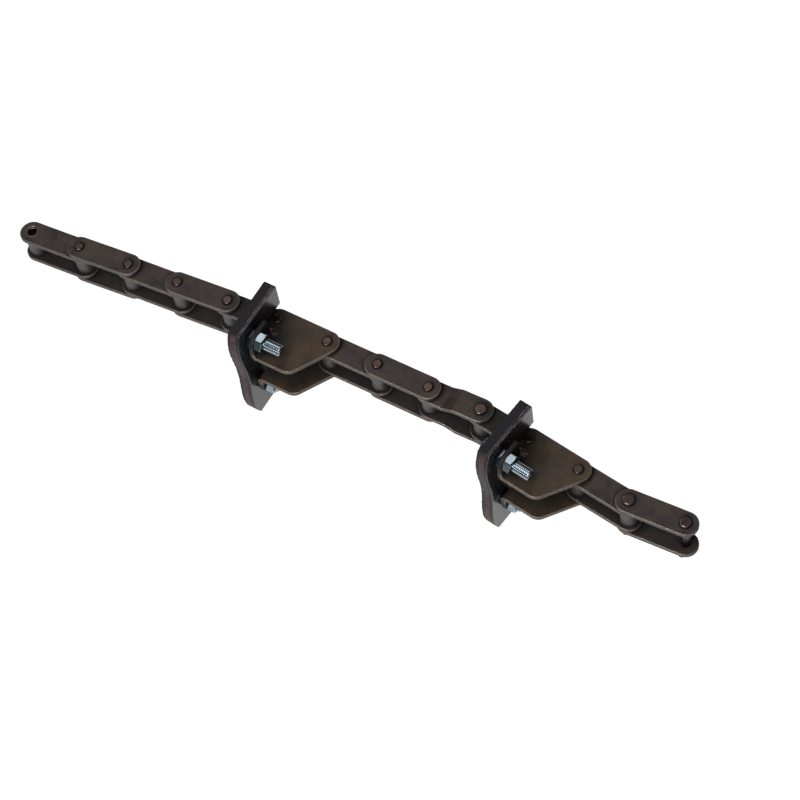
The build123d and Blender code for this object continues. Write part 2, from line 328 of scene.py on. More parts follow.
def corner_shade_and_oil(tree, reach):
    """How deep in a corner the surface lies: 1 against another piece, 0 in the open. It sets where corners
    get painted shade.
    """
    openness = add(tree, "ShaderNodeAmbientOcclusion", {"Distance": reach}, samples=8)
    depth = add(
        tree,
        "ShaderNodeMapRange",
        {"Value": openness.outputs["AO"], "From Min": 0.9, "From Max": 0.35, "To Min": 0.0, "To Max": 1.0},
    )
    return depth.outputs[0]


def sheltered(tree, reach, cover):
    """Painted shadow: how far an upper face lies in under another piece, seen from the side that the paddles
    reach to: 0 where more than cover of that side is open, 1 well under."""
    blend = 0.08
    open_side = add(
        tree,
        "ShaderNodeVectorTransform",
        {"Vector": (0.0, -0.6, 0.8)},
        vector_type="NORMAL",
        convert_from="OBJECT",
        convert_to="WORLD",
    )
    openness = add(
        tree, "ShaderNodeAmbientOcclusion", {"Distance": reach, "Normal": open_side.outputs[0]}, samples=8
    )
    under = add(
        tree,
        "ShaderNodeMapRange",
        {"Value": openness.outputs["AO"], "From Min": cover, "From Max": cover - blend},
    )
    facing = add(tree, "ShaderNodeNewGeometry")
    upward = add(tree, "ShaderNodeSeparateXYZ", {0: facing.outputs["Normal"]})
    upper_face = add(
        tree, "ShaderNodeMapRange", {"Value": upward.outputs["Z"], "From Min": 0.5, "From Max": 0.9}
    )
    share = add(tree, "ShaderNodeMath", {0: under.outputs[0], 1: upper_face.outputs[0]}, operation="MULTIPLY")
    return share.outputs[0]


def rolled_plate(name, dark, light, rust_start, cover):
    """Hot-rolled steel with its mill scale on, blanked and oiled: dark, cloudy and half matt, with lines
    along the rolling direction, steel showing at rubbed edges, and rust blooms where the oil is thin."""
    finish = SCENE.chain_finish
    edge_width, corner_reach, shelter_reach = 0.9 * MM, 4 * MM, 46 * MM
    # In millimetres. Rolling lines are about 0.1 mm apart, drawn 0.6 mm apart to show.
    cloud_size, stain_size, speck_size, bloom_size, line_gap = 13, 10, 0.9, 7, 0.6
    # Painted shade darkens the tabs, which stand off the plates by the rubber, from here up.
    tab_foot, tab_clear = 17.5, 20.5
    darkest_shade_and_grease = 0.92
    # Mill scale is an oxide that mirrors only a little, and where shadow is painted under other pieces the
    # surface hardly shines at all.
    scale_metallic = 0.3
    bare_roughness, painted_shadow_roughness = 0.3, 0.97
    material, tree, place = new_tree(name)
    clouds = add(
        tree,
        "ShaderNodeTexNoise",
        {"Vector": place, "Scale": 1 / cloud_size, "Detail": 6.0, "Roughness": 0.62},
    )
    stains = add(
        tree,
        "ShaderNodeTexNoise",
        {"Vector": place, "Scale": 1 / stain_size, "Detail": 4.0, "Distortion": 0.8},
    )
    specks = add(tree, "ShaderNodeTexNoise", {"Vector": place, "Scale": 1 / speck_size, "Detail": 3.0})
    along = add(tree, "ShaderNodeMapping", {"Vector": place, "Scale": (0.06, 1.0, 1.0)})
    lines = add(
        tree, "ShaderNodeTexNoise", {"Vector": along.outputs[0], "Scale": 1 / line_gap, "Detail": 3.0}
    )
    blooms = add(
        tree,
        "ShaderNodeTexNoise",
        {"Vector": place, "Scale": 1 / bloom_size, "Detail": 7.0, "Roughness": 0.68, "Distortion": 0.6},
    )
    rubbed, eased = rubbed_edges(tree, edge_width)
    crevice = corner_shade_and_oil(tree, corner_reach)
    # Painted shadow on the lower plates, under the upper ones.
    painted_shadow = sheltered(tree, shelter_reach, cover)

    scale = add(
        tree, "ShaderNodeMapRange", {"Value": clouds.outputs[0], "From Min": 0.36, "From Max": 0.64}
    )
    shaded = add(
        tree,
        "ShaderNodeMix",
        {MIX_FACTOR: scale.outputs[0], MIX_A: linear(dark), MIX_B: linear(light)},
        data_type="RGBA",
    )
    stain = add(tree, "ShaderNodeMapRange", {"Value": stains.outputs[0], "From Min": 0.52, "From Max": 0.7})
    base = add(
        tree,
        "ShaderNodeMix",
        {MIX_FACTOR: stain.outputs[0], MIX_A: shaded.outputs[MIX_RESULT], MIX_B: linear(finish.oil_stain)},
        data_type="RGBA",
    )
    damp = add(tree, "ShaderNodeMath", {0: crevice, 1: 0.13, 2: blooms.outputs[0]}, operation="MULTIPLY_ADD")
    rust_share = add(
        tree,
        "ShaderNodeMapRange",
        {"Value": damp.outputs[0], "From Min": rust_start, "From Max": rust_start + 0.12},
    )
    near_rust = add(tree, "ShaderNodeMath", {0: rust_share.outputs[0], 1: 0.75}, operation="MULTIPLY")
    rusted = add(
        tree,
        "ShaderNodeMix",
        {MIX_FACTOR: near_rust.outputs[0], MIX_A: base.outputs[MIX_RESULT], MIX_B: linear(finish.rust)},
        data_type="RGBA",
    )
    speckled = add(
        tree,
        "ShaderNodeMapRange",
        {"Value": specks.outputs[0], "From Min": 0.3, "From Max": 0.7, "To Min": 0.72, "To Max": 1.2},
    )
    mottled = add(
        tree,
        "ShaderNodeVectorMath",
        {0: rusted.outputs[MIX_RESULT], "Scale": speckled.outputs[0]},
        operation="SCALE",
    )
    patchy = add(tree, "ShaderNodeMath", {0: specks.outputs[0], 1: 1.2, 2: 0.2}, operation="MULTIPLY_ADD")
    rubbed_share = add(
        tree, "ShaderNodeMath", {0: rubbed, 1: patchy.outputs[0]}, operation="MULTIPLY", use_clamp=True
    )
    worn = add(
        tree,
        "ShaderNodeMix",
        {MIX_FACTOR: rubbed_share.outputs[0], MIX_A: mottled.outputs[0], MIX_B: linear(finish.bare_steel)},
        data_type="RGBA",
    )
    # Painted shadow under the upper plates, and painted shade in corners where oil also lies, both take the
    # grease colour.
    grease = add(tree, "ShaderNodeMath", {0: crevice, 1: painted_shadow}, operation="MAXIMUM")
    height_above = add(tree, "ShaderNodeSeparateXYZ", {0: place})
    off_plane = add(tree, "ShaderNodeMath", {0: height_above.outputs["Z"]}, operation="ABSOLUTE")
    on_tab = add(
        tree,
        "ShaderNodeMapRange",
        {"Value": off_plane.outputs[0], "From Min": tab_foot, "From Max": tab_clear},
    )
    shade_and_grease = add(tree, "ShaderNodeMath", {0: grease.outputs[0], 1: on_tab.outputs[0]}, operation="MAXIMUM")
    oil = add(tree, "ShaderNodeMath", {0: shade_and_grease.outputs[0], 1: darkest_shade_and_grease}, operation="MULTIPLY")
    colour = add(
        tree,
        "ShaderNodeMix",
        {MIX_FACTOR: oil.outputs[0], MIX_A: worn.outputs[MIX_RESULT], MIX_B: linear(finish.grease)},
        data_type="RGBA",
    )
    matt = add(
        tree,
        "ShaderNodeMapRange",
        {"Value": clouds.outputs[0], "From Min": 0.3, "From Max": 0.7, "To Min": 0.48, "To Max": 0.66},
    )
    bare = add(
        tree,
        "ShaderNodeMath",
        {0: rubbed_share.outputs[0], 1: 1 - scale_metallic, 2: scale_metallic},
        operation="MULTIPLY_ADD",
    )
    polish = add(
        tree,
        "ShaderNodeMix",
        {MIX_FACTOR: rubbed_share.outputs[0], NUMBER_A: matt.outputs[0], NUMBER_B: bare_roughness},
        data_type="FLOAT",
    )
    roughness = add(
        tree,
        "ShaderNodeMix",
        {MIX_FACTOR: painted_shadow, NUMBER_A: polish.outputs[0], NUMBER_B: painted_shadow_roughness},
        data_type="FLOAT",
    )
    metallic = add(
        tree,
        "ShaderNodeMix",
        {MIX_FACTOR: painted_shadow, NUMBER_A: bare.outputs[0], NUMBER_B: 0.0},
        data_type="FLOAT",
    )
    height = add(tree, "ShaderNodeMath", {0: lines.outputs[0], 1: specks.outputs[0]}, operation="ADD")
    bump = add(
        tree,
        "ShaderNodeBump",
        {"Strength": 0.35, "Distance": 0.05 * MM, "Height": height.outputs[0], "Normal": eased},
    )
    finish_shader(
        tree,
        {
            "Base Color": colour.outputs[MIX_RESULT],
            "Metallic": metallic.outputs[0],
            "Roughness": roughness.outputs[0],
            "Normal": bump.outputs[0],
        },
    )
    return material


def oiled_hot_rolled_steel():
    """The link plates' steel: a warm dark grey, with little rust, and most of it in the corners."""
    finish = SCENE.chain_finish
    return rolled_plate(
        "oiled_hot_rolled_steel", finish.plate_dark, finish.plate_light, rust_start=0.6, cover=0.715
    )


def bronzed_hot_rolled_steel():
    """The attachment plates' steel: the scale is browner, and rust has begun to bloom in it."""
    finish = SCENE.chain_finish
    return rolled_plate(
        "bronzed_hot_rolled_steel", finish.wing_dark, finish.wing_light, rust_start=0.54, cover=0.66
    )


def plain_steel(name, colour, grit, roughness, depth, metallic=1.0, edge=0.3):
    """Bare steel with a fine even grain, whose width and rubbed edge are in millimetres: a tint that wanders
    a little, edges rubbed bright, oil and painted shade in corners."""
    finish = SCENE.chain_finish
    cloud_size = 5
    corner_reach = 2.5 * MM
    roughness_spread = 0.08
    material, tree, place = new_tree(name)
    clouds = add(tree, "ShaderNodeTexNoise", {"Vector": place, "Scale": 1 / cloud_size, "Detail": 5.0})
    grain = add(tree, "ShaderNodeTexNoise", {"Vector": place, "Scale": 1 / grit, "Detail": 2.0})
    rubbed, eased = rubbed_edges(tree, edge * MM)
    crevice = corner_shade_and_oil(tree, corner_reach)
    shade = add(
        tree,
        "ShaderNodeMapRange",
        {"Value": clouds.outputs[0], "From Min": 0.3, "From Max": 0.7, "To Min": 0.7, "To Max": 1.15},
    )
    body = add(
        tree, "ShaderNodeVectorMath", {0: linear(colour)[:3], "Scale": shade.outputs[0]}, operation="SCALE"
    )
    worn = add(
        tree,
        "ShaderNodeMix",
        {MIX_FACTOR: rubbed, MIX_A: body.outputs[0], MIX_B: linear(finish.bare_steel)},
        data_type="RGBA",
    )
    # Painted shade, with oil, darkens the corners.
    oiled = add(
        tree,
        "ShaderNodeMix",
        {MIX_FACTOR: crevice, MIX_A: worn.outputs[MIX_RESULT], MIX_B: linear(finish.oil_and_corner_shade)},
        data_type="RGBA",
    )
    matt = add(
        tree,
        "ShaderNodeMapRange",
        {
            "Value": clouds.outputs[0],
            "To Min": roughness - roughness_spread,
            "To Max": roughness + roughness_spread,
        },
    )
    bump = add(
        tree,
        "ShaderNodeBump",
        {"Strength": 0.4, "Distance": depth, "Height": grain.outputs[0], "Normal": eased},
    )
    finish_shader(
        tree,
        {
            "Base Color": oiled.outputs[MIX_RESULT],
            "Metallic": metallic,
            "Roughness": matt.outputs[0],
            "Normal": bump.outputs[0],
        },
    )
    return material


def shot_blasted_roller_steel():
    """Shot leaves dents of about 0.2 mm, drawn 0.5 mm wide to show, and an even grey without mirror
    glints."""
    return plain_steel(
        "shot_blasted_roller_steel",
        SCENE.chain_finish.roller,
        grit=0.5,
        roughness=0.55,
        depth=0.05 * MM,
        metallic=0.85,
    )


def ground_bush_steel():
    """Ground and oiled: dark, with a soft line of light along it. The grinding marks are drawn coarser."""
    return plain_steel(
        "ground_bush_steel", SCENE.chain_finish.pin, grit=0.4, roughness=0.35, depth=0.02 * MM
    )


def oiled_pin_steel():
    """Ground and riveted ends: smoother than the plates, so each head catches one bright glint."""
    return plain_steel(
        "oiled_pin_steel", SCENE.chain_finish.pin, grit=0.6, roughness=0.27, depth=0.03 * MM, edge=0.8
    )


def drawn_steel_wire():
    """Wire as it leaves the die: brighter than the pins, with a long smooth shine."""
    return plain_steel(
        "drawn_steel_wire", SCENE.chain_finish.wire, grit=0.4, roughness=0.33, depth=0.02 * MM
    )


def bright_zinc_plating():
    """Zinc with a clear blue passivate on turned steel: a cool mirror, broken by a faint grain."""
    finish = SCENE.chain_finish
    edge_width, corner_reach = 0.15 * MM, 2.5 * MM
    # In millimetres. The plating's crystals are a few hundredths wide, drawn 0.3 mm wide to show.
    cloud_size, crystal_size = 3, 0.3
    material, tree, place = new_tree("bright_zinc_plating")
    clouds = add(tree, "ShaderNodeTexNoise", {"Vector": place, "Scale": 1 / cloud_size, "Detail": 4.0})
    crystals = add(tree, "ShaderNodeTexNoise", {"Vector": place, "Scale": 1 / crystal_size, "Detail": 2.0})
    eased = add(tree, "ShaderNodeBevel", {"Radius": edge_width}, samples=6)
    crevice = corner_shade_and_oil(tree, corner_reach)
    tint = add(
        tree,
        "ShaderNodeMix",
        {MIX_FACTOR: clouds.outputs[0], MIX_A: linear(finish.zinc), MIX_B: linear(finish.zinc_dull)},
        data_type="RGBA",
    )
    # Painted shade darkens the zinc in its corners.
    colour = add(
        tree,
        "ShaderNodeMix",
        {MIX_FACTOR: crevice, MIX_A: tint.outputs[MIX_RESULT], MIX_B: linear(finish.zinc_corner_shade)},
        data_type="RGBA",
    )
    matt = add(tree, "ShaderNodeMapRange", {"Value": clouds.outputs[0], "To Min": 0.1, "To Max": 0.22})
    bump = add(
        tree,
        "ShaderNodeBump",
        {"Strength": 0.2, "Distance": 0.02 * MM, "Height": crystals.outputs[0], "Normal": eased.outputs[0]},
    )
    finish_shader(
        tree,
        {
            "Base Color": colour.outputs[MIX_RESULT],
            "Metallic": 1.0,
            "Roughness": matt.outputs[0],
            "Normal": bump.outputs[0],
        },
    )
    return material


def ply_belting_rubber():
    """Cut conveyor belting: matt black cover rubber, with the plies' brown ends smeared over the middle of
    its cut edge, and on the upright edges only, where the knife has pulled them out."""
    finish = SCENE.chain_finish
    shape = SCENE.belting_shape
    # In millimetres.
    cloud_size, smear_size, thread_size = 9, 4, 0.8
    half_carcass = shape.carcass / MM / 2
    carcass_blend = 0.7
    smear_reach = 2.6
    strand_gap, first_strand = 0.65, 1.9
    material, tree, place = new_tree("ply_belting_rubber")
    depth = add(tree, "ShaderNodeAttribute", attribute_name="ply_depth")
    cut = add(tree, "ShaderNodeAttribute", attribute_name="cut_edge")
    facing = add(tree, "ShaderNodeNewGeometry")
    upward = add(tree, "ShaderNodeSeparateXYZ", {0: facing.outputs["Normal"]})
    upright = add(
        tree, "ShaderNodeMapRange", {"Value": upward.outputs["Z"], "From Min": 0.75, "From Max": 0.35}
    )
    clouds = add(
        tree,
        "ShaderNodeTexNoise",
        {"Vector": place, "Scale": 1 / cloud_size, "Detail": 6.0, "Roughness": 0.6},
    )
    smears = add(
        tree,
        "ShaderNodeTexNoise",
        {"Vector": place, "Scale": 1 / smear_size, "Detail": 5.0, "Roughness": 0.65},
    )
    threads = add(tree, "ShaderNodeTexNoise", {"Vector": place, "Scale": 1 / thread_size, "Detail": 3.0})
    wander = add(
        tree,
        "ShaderNodeMath",
        {0: smears.outputs[0], 1: smear_reach, 2: depth.outputs["Fac"]},
        operation="MULTIPLY_ADD",
    )
    centred = add(tree, "ShaderNodeMath", {0: wander.outputs[0], 1: smear_reach / 2}, operation="SUBTRACT")
    distance = add(tree, "ShaderNodeMath", {0: centred.outputs[0]}, operation="ABSOLUTE")
    carcass = add(
        tree,
        "ShaderNodeMapRange",
        {
            "Value": distance.outputs[0],
            "From Min": half_carcass,
            "From Max": half_carcass - carcass_blend,
        },
    )
    broken = add(tree, "ShaderNodeMapRange", {"Value": smears.outputs[0], "From Min": 0.36, "From Max": 0.6})
    frayed = add(tree, "ShaderNodeMapRange", {"Value": threads.outputs[0], "From Min": 0.25, "From Max": 0.6})
    in_carcass = add(
        tree, "ShaderNodeMath", {0: broken.outputs[0], 1: carcass.outputs[0]}, operation="MULTIPLY"
    )
    on_edge = add(
        tree, "ShaderNodeMath", {0: in_carcass.outputs[0], 1: cut.outputs["Fac"]}, operation="MULTIPLY"
    )
    on_side = add(
        tree, "ShaderNodeMath", {0: on_edge.outputs[0], 1: upright.outputs[0]}, operation="MULTIPLY"
    )
    fabric = add(tree, "ShaderNodeMath", {0: on_side.outputs[0], 1: frayed.outputs[0]}, operation="MULTIPLY")
    # Two pale lines run along the top face, towards the front.
    repeat = add(tree, "ShaderNodeMath", {0: depth.outputs["Fac"], 1: strand_gap}, operation="PINGPONG")
    strand = add(tree, "ShaderNodeMapRange", {"Value": repeat.outputs[0], "From Min": 0.28, "From Max": 0.12})
    forward = add(
        tree,
        "ShaderNodeMapRange",
        {"Value": depth.outputs["Fac"], "From Min": first_strand, "From Max": first_strand + 0.2},
    )
    front_strand = add(
        tree, "ShaderNodeMath", {0: strand.outputs[0], 1: forward.outputs[0]}, operation="MULTIPLY"
    )
    top_share = add(
        tree,
        "ShaderNodeMapRange",
        {"Value": upward.outputs["Z"], "From Min": 0.6, "From Max": 0.9, "To Max": 0.55},
    )
    top_strand = add(
        tree, "ShaderNodeMath", {0: front_strand.outputs[0], 1: top_share.outputs[0]}, operation="MULTIPLY"
    )
    pale = add(tree, "ShaderNodeMath", {0: top_strand.outputs[0], 1: broken.outputs[0]}, operation="MULTIPLY")
    rubber = add(
        tree,
        "ShaderNodeMix",
        {MIX_FACTOR: clouds.outputs[0], MIX_A: linear(finish.rubber), MIX_B: linear(finish.rubber_light)},
        data_type="RGBA",
    )
    colour = add(
        tree,
        "ShaderNodeMix",
        {MIX_FACTOR: fabric.outputs[0], MIX_A: rubber.outputs[MIX_RESULT], MIX_B: linear(finish.fabric)},
        data_type="RGBA",
    )
    threaded = add(
        tree,
        "ShaderNodeMix",
        {MIX_FACTOR: pale.outputs[0], MIX_A: colour.outputs[MIX_RESULT], MIX_B: linear(finish.thread)},
        data_type="RGBA",
    )
    dusty = add(tree, "ShaderNodeMapRange", {"Value": cut.outputs["Fac"], "To Min": 0.5, "To Max": 0.24})
    smooth = add(
        tree, "ShaderNodeMapRange", {"Value": clouds.outputs[0], "To Min": 0.2, "To Max": 0.36}
    )
    matt = add(
        tree,
        "ShaderNodeMath",
        {0: cut.outputs["Fac"], 1: 0.35, 2: smooth.outputs[0]},
        operation="MULTIPLY_ADD",
    )
    bump = add(
        tree, "ShaderNodeBump", {"Strength": 0.08, "Distance": 0.04 * MM, "Height": threads.outputs[0]}
    )
    finish_shader(
        tree,
        {
            "Base Color": threaded.outputs[MIX_RESULT],
            "Roughness": matt.outputs[0],
            "IOR": 1.52,
            "Specular IOR Level": dusty.outputs[0],
            "Normal": bump.outputs[0],
        },
    )
    return material


def pale_floor():
    """A light table: a sheet that glows evenly, so that shadows on it stay faint, on a dim bench."""
    look = SCENE.stage_look
    soft_edge = 6  # millimetres
    material, tree, place = new_tree("pale_floor_sheet")
    across = add(tree, "ShaderNodeSeparateXYZ", {0: place})
    shares = []
    for axis, half in (("X", look.sheet_x), ("Y", look.sheet_y)):
        distance = add(tree, "ShaderNodeMath", {0: across.outputs[axis]}, operation="ABSOLUTE")
        shares.append(add(
            tree,
            "ShaderNodeMapRange",
            {"Value": distance.outputs[0], "From Min": half / MM + soft_edge, "From Max": half / MM},
        ))
    sheet = add(
        tree, "ShaderNodeMath", {0: shares[0].outputs[0], 1: shares[1].outputs[0]}, operation="MULTIPLY"
    )
    glow = add(
        tree,
        "ShaderNodeMath",
        {0: sheet.outputs[0], 1: look.glow - look.bench, 2: look.bench},
        operation="MULTIPLY_ADD",
    )
    white = add(
        tree,
        "ShaderNodeMix",
        {MIX_FACTOR: sheet.outputs[0], MIX_A: linear(look.bench_tint), MIX_B: linear(look.floor)},
        data_type="RGBA",
    )
    finish_shader(
        tree,
        {
            "Base Color": white.outputs[MIX_RESULT],
            "Roughness": 0.9,
            "Specular IOR Level": 0.0,
            "Emission Color": (1, 1, 1, 1),
            "Emission Strength": glow.outputs[0],
        },
    )
    return material


def dress(nodes, material):
    """Gives CAD nodes a finish."""
    for name in nodes:
        for slot in frame["nodes"][name].material_slots:
            slot.material = material


# ---------------------------------------------------------------- pieces


def new_piece(name, mesh, material, body, node):
    """Adds a mesh in the row frame as a piece that rides on a body and stands for a CAD node."""
    piece = bpy.data.objects.new(name, mesh)
    SCENE.collection.objects.link(piece)
    mesh.materials.clear()
    mesh.materials.append(material)
    mesh.shade_smooth()
    mesh.set_sharp_from_angle(angle=SHARP)
    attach(piece, body)
    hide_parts(node)
    return piece


def skin(form, rings, start_centre=None, end_centre=None):
    """Joins rings of equal length with faces. A centre closes that end with a fan."""
    rows = [[form.verts.new(p) for p in points] for points in rings]
    count = len(rows[0])
    for near, far in zip(rows, rows[1:]):
        for i in range(count):
            j = (i + 1) % count
            form.faces.new((near[i], near[j], far[j], far[i]))
    for centre, row, turn in ((start_centre, rows[0], 1), (end_centre, rows[-1], -1)):
        if centre is None:
            continue
        middle = form.verts.new(centre)
        for i in range(count):
            corners = (middle, row[(i + 1) % count], row[i])
            form.faces.new(corners[::turn])


def ring(x, radius, steps):
    """Points round the X axis. Place and radius are numbers, or functions of the angle."""
    points = []
    for i in range(steps):
        angle = 2 * pi * i / steps
        here = x(angle) if callable(x) else x
        reach = radius(angle) if callable(radius) else radius
        points.append((here, reach * cos(angle), reach * sin(angle)))
    return points


def hexagon_reach(angle):
    """How far a hexagon's side lies from its axis."""
    shape = SCENE.fastener_shape
    from_flat = (angle - shape.hex_turn + SIXTH / 2) % SIXTH - SIXTH / 2
    return shape.across_flats / 2 / cos(from_flat)


def hexagon_rings(low, high):
    """A hexagon from low to high along X, its corners turned to a cone at both ends."""
    shape = SCENE.fastener_shape
    turned_share = 0.93
    circle = shape.across_flats / 2 * turned_share
    slope = tan(shape.hex_chamfer)

    def drop(angle):
        return (hexagon_reach(angle) - circle) * slope

    near = [ring(low, circle, STEPS), ring(lambda a: low + drop(a), hexagon_reach, STEPS)]
    far = [ring(lambda a: high - drop(a), hexagon_reach, STEPS), ring(high, circle, STEPS)]
    return near + far


def round_head_rings(low, seat, radius):
    """A low round head, from its top at low to its seat."""
    rim = SCENE.fastener_shape.head_round
    arc_steps = 6
    angles = [pi / 2 * i / arc_steps for i in range(arc_steps + 1)]
    rings = [ring(low + rim * (1 - cos(a)), radius - rim * (1 - sin(a)), STEPS) for a in angles]
    return rings + [ring(seat, radius, STEPS)]


def threaded_rings(low, high, crest):
    """A thread along X, worn to a round tip at its high end."""
    shape = SCENE.fastener_shape
    rows = int((high - low) / shape.thread_pitch * THREAD_ROWS)
    rings = []
    for row in range(rows + 1):
        x = low + (high - low) * row / rows
        past = max(0.0, x - (high - shape.tip_round)) / shape.tip_round
        limit = crest - shape.tip_round * (1 - (1 - min(past, 1.0) ** 2) ** 0.5)

        def reach(angle, x=x, limit=limit):
            turn = 2 * pi * x / shape.thread_pitch - angle
            return min(limit, crest - shape.thread_depth * (0.5 - 0.5 * cos(turn)))

        rings.append(ring(x, reach, STEPS // 2))
    return rings


def bolt_mesh(place, low, high, head_height, crest):
    """A bolt with a low round head at low x, from its extent in the link's own frame."""
    plain_length = 4 * MM
    sunk = 0.5 * MM
    form = bmesh.new()
    seat = low.x + head_height
    head = round_head_rings(low.x, seat, (high.y - low.y) / 2)
    skin(form, head, start_centre=(low.x, 0, 0), end_centre=(seat, 0, 0))
    thread_start = seat + plain_length
    plain = [ring(seat - sunk, crest, STEPS // 2), ring(thread_start, crest, STEPS // 2)]
    skin(form, plain, start_centre=(seat - sunk, 0, 0), end_centre=(thread_start, 0, 0))
    thread = threaded_rings(thread_start, high.x, crest)
    skin(form, thread, start_centre=(thread_start, 0, 0), end_centre=(high.x, 0, 0))
    return place_mesh(form, "bolt", place, low, high)


def nut_mesh(place, low, high, crest):
    """A hexagon nut with a turned mouth at each end of its thread."""
    shape = SCENE.fastener_shape
    form = bmesh.new()
    mouth_ease, thread_bite = 0.25 * MM, 0.3 * MM
    mouth = crest + mouth_ease
    bore = crest - thread_bite
    outside = hexagon_rings(low.x, high.x)
    inside = [
        ring(high.x, mouth, STEPS),
        ring(high.x - shape.countersink, bore, STEPS),
        ring(low.x + shape.countersink, bore, STEPS),
        ring(low.x, mouth, STEPS),
    ]
    skin(form, outside + inside + outside[:1])
    bmesh.ops.remove_doubles(form, verts=form.verts, dist=WELD)
    return place_mesh(form, "nut", place, low, high)


def place_mesh(form, name, place, low, high):
    """Turns a form built round the X axis into a mesh on the axis of the solid it stands for."""
    bmesh.ops.recalc_face_normals(form, faces=form.faces)
    mesh = bpy.data.meshes.new(name)
    form.to_mesh(mesh)
    form.free()
    middle = (low + high) / 2
    mesh.transform(place @ Matrix.Translation((0, middle.y, middle.z)))
    return mesh


def washer_mesh(place, low, high, bore):
    """A punched washer: rounded over on the die side, with a small burr-free edge on the other."""
    form = bmesh.new()
    outer = (high.y - low.y) / 2
    round_over = 0.4 * MM
    halfway = 0.3 * round_over
    edge_break = 0.1 * MM
    rings = [
        ring(low.x, bore, STEPS),
        ring(low.x, outer - round_over, STEPS),
        ring(low.x + halfway, outer - halfway, STEPS),
        ring(low.x + round_over, outer, STEPS),
        ring(high.x - edge_break, outer, STEPS),
        ring(high.x, outer - edge_break, STEPS),
        ring(high.x, bore, STEPS),
        ring(low.x, bore, STEPS),
    ]
    skin(form, rings)
    bmesh.ops.remove_doubles(form, verts=form.verts, dist=WELD)
    return place_mesh(form, "washer", place, low, high)


def belting_mesh(node, place):
    """A paddle cut from ply belting: the solid's own shape with eased edges, and frayed plies on its cut
    edge. It keeps how deep each point lies in the belting, and whether it is on a cut edge, for the
    material."""
    shape = SCENE.belting_shape
    edge_turn, edge_blend = 0.3, 0.5
    carcass_blend = 0.5 * MM
    tuft = 1.3 * MM
    groove_share = 0.6
    blank = bpy.data.objects.new("belting_blank", frame["nodes"][node].data.copy())
    SCENE.collection.objects.link(blank)
    remesh = blank.modifiers.new("grain", "REMESH")
    remesh.mode = "VOXEL"
    remesh.voxel_size = shape.voxel
    ease = blank.modifiers.new("eased", "SMOOTH")
    ease.factor = 0.5
    ease.iterations = shape.settle
    graph = bpy.context.evaluated_depsgraph_get()
    mesh = bpy.data.meshes.new_from_object(blank.evaluated_get(graph))
    bpy.data.objects.remove(blank)

    count = len(mesh.vertices)
    points = np.zeros(count * 3)
    mesh.vertices.foreach_get("co", points)
    points = points.reshape(-1, 3)
    normals = np.zeros(count * 3)
    mesh.vertices.foreach_get("normal", normals)
    normals = normals.reshape(-1, 3)
    across = np.array(place.to_3x3() @ Vector((1, 0, 0)))
    depth = (points - np.array(place.translation)) @ across
    depth -= (depth.min() + depth.max()) / 2
    rim = np.clip((1 - np.abs(normals @ across) - edge_turn) / edge_blend, 0, 1)
    inside = np.clip((shape.carcass / 2 - np.abs(depth)) / carcass_blend, 0, 1)
    ply = 0.5 + 0.5 * np.cos(2 * pi * depth / shape.ply_spacing)
    rough = np.array([noise.noise(Vector(p) / tuft) for p in points])
    # Plies stand proud of the grooves between them, tufts differ, and the whole cut lies a little back.
    proud = shape.fray * rim * (inside * (ply - groove_share) + 0.5 * rough) - 0.5 * shape.fray * rim
    points = points + normals * proud[:, None]
    # The fray stays inside the block that the paddle is cut from.
    low, high = local_box(node, place)
    turn = np.array(place.to_3x3())
    local = np.clip((points - np.array(place.translation)) @ turn, np.array(low), np.array(high))
    points = local @ turn.T + np.array(place.translation)
    mesh.vertices.foreach_set("co", points.ravel())
    for name, values in (("ply_depth", depth / MM), ("cut_edge", rim)):
        attribute = mesh.attributes.new(name, "FLOAT", "POINT")
        attribute.data.foreach_set("value", values.astype(np.float32))
    mesh.update()
    return mesh


# ---------------------------------------------------------------- operators


class CHAIN_OT_link_plates(bpy.types.Operator):
    """Finish the straight and cranked plates in oiled hot-rolled steel"""

    bl_idname = "chain.link_plates"
    bl_label = "Link plates"

    def execute(self, context):
        plates = nodes_named("_inner_plates", "_upper_plate", "_lower_plate", "_cranked_plate")
        dress(plates, oiled_hot_rolled_steel())
        return {"FINISHED"}


class CHAIN_OT_attachment_plates(bpy.types.Operator):
    """Finish the winged plates in browner steel with rust blooms"""

    bl_idname = "chain.attachment_plates"
    bl_label = "Attachment plates"

    def execute(self, context):
        dress(nodes_named("_attachment_plate"), bronzed_hot_rolled_steel())
        return {"FINISHED"}


class CHAIN_OT_rollers(bpy.types.Operator):
    """Finish the rollers in shot-blasted steel and the bushes in ground steel"""

    bl_idname = "chain.rollers"
    bl_label = "Rollers and bushes"

    def execute(self, context):
        dress(nodes_named("_roller", "_roller_left", "_roller_right"), shot_blasted_roller_steel())
        dress(nodes_named("_bush", "_bushes"), ground_bush_steel())
        return {"FINISHED"}


class CHAIN_OT_pins(bpy.types.Operator):
    """Finish the riveted and loose pins, and the split pins"""

    bl_idname = "chain.pins"
    bl_label = "Pins"

    def execute(self, context):
        dress(nodes_named("_rivet_pins", "_loose_pin", "_loose_pins"), oiled_pin_steel())
        dress(nodes_named("_split_pin", "_split_pins"), drawn_steel_wire())
        return {"FINISHED"}


def fastener_extents(number, kind):
    """For each side of a link: the piece's name, the node it stands for, and the link's own frame with the
    piece's extent in it."""
    place = link_frame(number)
    node = f"link_{number:02d}_{kind}"
    for side_name, side in SIDES.items():
        low, high = local_box(node, place, side)
        yield f"{node}_{side_name}", node, place, low, high


